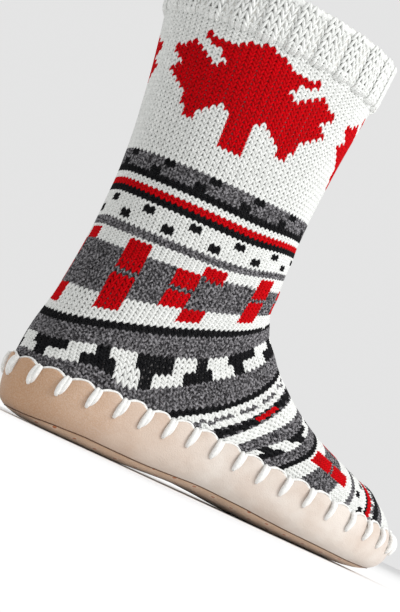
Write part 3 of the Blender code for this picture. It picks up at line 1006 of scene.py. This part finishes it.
BITE_RADIUS = 1.55
RUN_RADIUS = 0.55
BITE_LENGTH = 10.0
BITE_ABOVE_EDGE = 2.2
BITE_SLANT = -1.8
BITE_CROSSING = 0.2
BITE_ARCH = 1.6
BITE_START = 0.08
BITE_FULLNESS = 0.6
BITE_SUNK = 0.7
RUN_ABOVE_EDGE = 0.4
RUN_SUNK = 0.9
PLY_SPREAD = 0.55
PLY_TURN = -16.0
YARN_PLIES = 2
YARN_POINTS = 11
TIP_TURN = 0.22
TIP_FULLNESS = 0.35

# A direction that no length of yarn runs along, from which its plies are set off.
NEVER_ALONG = np.array([0.001, 0.001, 1.001])


def suede_spot(station, below_edge, proud):
    """A point over the suede at one place round the shoe, this far below the band's edge."""
    place = station % stations
    index = int(place)
    share = place - index
    after = (index + 1) % stations
    height = band_edge(edge[index, 0]) - below_edge
    first = suede_side(index, height)
    second = suede_side(after, height)
    out = np.array([*edge_out[index], 0.0])
    return first + share * (second - first) + out * proud


def add_plies(curve, path, radius):
    """Adds the plies of one length of yarn, twisted round each other and thin at both ends."""
    path = np.array(path)
    run = np.gradient(path, axis=0)
    run /= np.linalg.norm(run, axis=1, keepdims=True)
    side = np.cross(run, NEVER_ALONG)
    side /= np.linalg.norm(side, axis=1, keepdims=True)
    other = np.cross(run, side)
    lengths = np.concatenate([[0], np.cumsum(np.linalg.norm(np.diff(path, axis=0), axis=1))])
    widths = np.sin(np.linspace(TIP_TURN, math.pi - TIP_TURN, len(path))) ** TIP_FULLNESS
    for ply in range(YARN_PLIES):
        turn = 2 * math.pi * (lengths / PLY_TURN + ply / YARN_PLIES)
        offset = side * np.cos(turn)[:, None] + other * np.sin(turn)[:, None]
        add_length(curve, path + offset * radius * PLY_SPREAD, widths)


def bite_lift(share):
    """How far a bite stands over the suede: it rises from the edge and sinks in at its foot."""
    turn = math.pi * min(1.0, BITE_START + share * (1 - BITE_START))
    return BITE_ARCH * math.sin(turn) ** BITE_FULLNESS - BITE_SUNK


stitch_yarn = wool("stitch yarn", (0.70, 0.70, 0.68), (0.82, 0.82, 0.80), 900.0, soft=0.2)
bites = yarn_curve("blanket_bites", BITE_RADIUS)
runs = yarn_curve("blanket_runs", RUN_RADIUS)
shares = np.linspace(0.0, 1.0, YARN_POINTS)
for scallop in range(scallops):
    notch = scallop * SCALLOP_STEPS
    bite = []
    run = []
    for share in shares:
        beside = notch + BITE_SLANT * (share - BITE_CROSSING)
        down = SCALLOP_DEPTH - BITE_ABOVE_EDGE + BITE_LENGTH * share
        bite.append(suede_spot(beside, down, bite_lift(share)))
        below = SCALLOP_DEPTH * (1 - math.sin(math.pi * share)) - RUN_ABOVE_EDGE
        run.append(suede_spot(notch + SCALLOP_STEPS * share, below, -RUN_SUNK))
    add_plies(bites, bite, BITE_RADIUS)
    add_plies(runs, run, RUN_RADIUS)
finish_yarn(bites, stitch_yarn)
finish_yarn(runs, stitch_yarn)


# The footbed is a padded insole covered in short cream fleece, which lies loose on the
# turned-under knit. It shows only through the collar.

fleece = Finish("fleece footbed")
pile = fleece.noise(520.0, 5.0)
fleece.set(Base_Color=fleece.mix(pile, (0.60, 0.55, 0.48, 1.0), (0.80, 0.76, 0.69, 1.0)))
fleece.set(Roughness=fleece.ramp(pile, 0.0, 1.0, low_to=0.88))
fleece.surface.inputs["Sheen Weight"].default_value = 0.6
fleece.bump(pile, strength=0.8, distance=0.0012)
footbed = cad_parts["insole"]
footbed.data.materials.clear()
footbed.data.materials.append(fleece.material)


# The slipper stands on a plain pale floor, lit by a broad lamp over the toes and a weaker one
# behind, under a pale sky. The picture is shown as plain sRGB, so that reds stay clear.

FLOOR_SIZE = 14.0
FLOOR_LEVEL = -0.0003
SKY_STRENGTH = 0.78

bpy.ops.mesh.primitive_plane_add(size=FLOOR_SIZE, location=(0.0, 0.0, FLOOR_LEVEL))
floor = bpy.context.object
floor.name = "floor"
paper = Finish("pale floor")
paper.set(Base_Color=(0.82, 0.82, 0.82, 1.0), Roughness=0.9)
floor.data.materials.append(paper.material)

LAMPS = [
    # x    y     z    size power
    (1.0, -1.7, 1.3, 1.1, 40.0),
    (0.2, 1.6, 1.6, 1.6, 10.0),
]
for number, (x_lamp, y_lamp, z_lamp, size, power) in enumerate(LAMPS):
    bpy.ops.object.light_add(type="AREA", location=(x_lamp, y_lamp, z_lamp))
    lamp = bpy.context.object
    lamp.name = "lamp_" + str(number)
    lamp.data.size = size
    lamp.data.energy = power
    aim = LOOK_AT - lamp.location
    lamp.rotation_mode = "QUATERNION"
    lamp.rotation_quaternion = aim.to_track_quat("-Z", "Y")

world = bpy.data.worlds.new("pale sky")
world.use_nodes = True
sky = world.node_tree.nodes["Background"]
sky.inputs["Color"].default_value = (1.0, 1.0, 1.0, 1.0)
sky.inputs["Strength"].default_value = SKY_STRENGTH
bpy.context.scene.world = world
bpy.context.scene.view_settings.view_transform = "Standard"
